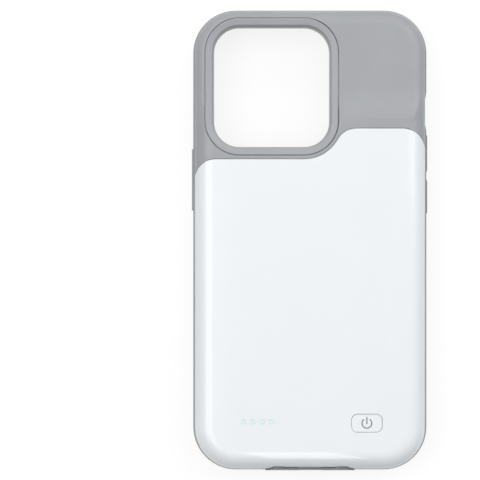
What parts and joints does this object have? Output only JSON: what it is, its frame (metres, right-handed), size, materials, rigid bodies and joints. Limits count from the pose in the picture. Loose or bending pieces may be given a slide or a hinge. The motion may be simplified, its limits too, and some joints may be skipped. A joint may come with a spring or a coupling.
{
  "type": "battery charging case",
  "caption": "Slim battery case for a handset: soft grey frame with camera ring and side keys, white gloss cover over the cell, power button, charge lights and a charging socket.",
  "frame": {"origin": "centre of the overall box, on the front lip's face", "axes": "+Z out of the back cover, +Y towards the camera end, +X to the right seen from the back"},
  "size_m": [0.0788, 0.1532, 0.0156],
  "materials": {
    "soft_grey": "matte soft-touch moulding",
    "ring_grey": "fine matte moulding",
    "white_gloss": "polished moulding",
    "key_grey": "satin moulding",
    "tray_grey": "matte moulding",
    "milky_guide": "translucent moulding",
    "board_green": "solder mask",
    "black_plastic": "moulded resin",
    "steel": "stamped",
    "gilt": "plated",
    "nickel": "bare strip",
    "ferrite": "pressed powder",
    "capacitor_tan": "fired",
    "led_clear": "clear resin",
    "pouch": "laminated foil pouch",
    "tape": "double-sided tape",
    "foam": "closed-cell foam",
    "red_sleeve": "insulated lead",
    "black_sleeve": "insulated lead"
  },
  "bodies": {
    "case_body": {"bumper_frame": "soft_grey", "back_cover": "white_gloss", "inner_tray": "tray_grey", "camera_ring": "ring_grey", "tact_switch": "black_plastic", "light_guide": "milky_guide", "battery_cell": "pouch", "cell_protection_board": "board_green", "cell_tabs": "nickel", "red_lead": "red_sleeve", "black_lead": "black_sleeve", "cell_tape": "tape", "foam_pad": "foam", "main_board": "board_green", "charge_controller": "black_plastic", "power_inductor": "ferrite", "filter_capacitors": "capacitor_tan", "socket_shell": "steel", "socket_tongue": "black_plastic", "socket_contacts": "gilt", "plug_tab": "steel", "plug_contacts": "gilt", "plug_base": "black_plastic", "plug_board": "board_green", "indicator_led_1": "led_clear", "indicator_led_2": "led_clear", "indicator_led_3": "led_clear", "indicator_led_4": "led_clear"},
    "power_button": {"power_button": "white_gloss", "switch_plunger": "black_plastic"},
    "volume_up_key": {"volume_up_key": "key_grey"},
    "volume_down_key": {"volume_down_key": "key_grey"},
    "side_key": {"side_key": "soft_grey"}
  },
  "joints": [
    {"name": "power_button_press", "type": "slide", "parent": "case_body", "child": "power_button", "axis": [0, 0, -1], "range_m": [0, 0.0004], "stiffness_N_per_m": 900},
    {"name": "volume_up_key_press", "type": "slide", "parent": "case_body", "child": "volume_up_key", "axis": [-1, 0, 0], "range_m": [0, 0.0004], "stiffness_N_per_m": 900},
    {"name": "volume_down_key_press", "type": "slide", "parent": "case_body", "child": "volume_down_key", "axis": [-1, 0, 0], "range_m": [0, 0.0004], "stiffness_N_per_m": 900},
    {"name": "side_key_press", "type": "slide", "parent": "case_body", "child": "side_key", "axis": [1, 0, 0], "range_m": [0, 0.0004], "stiffness_N_per_m": 900}
  ]
}
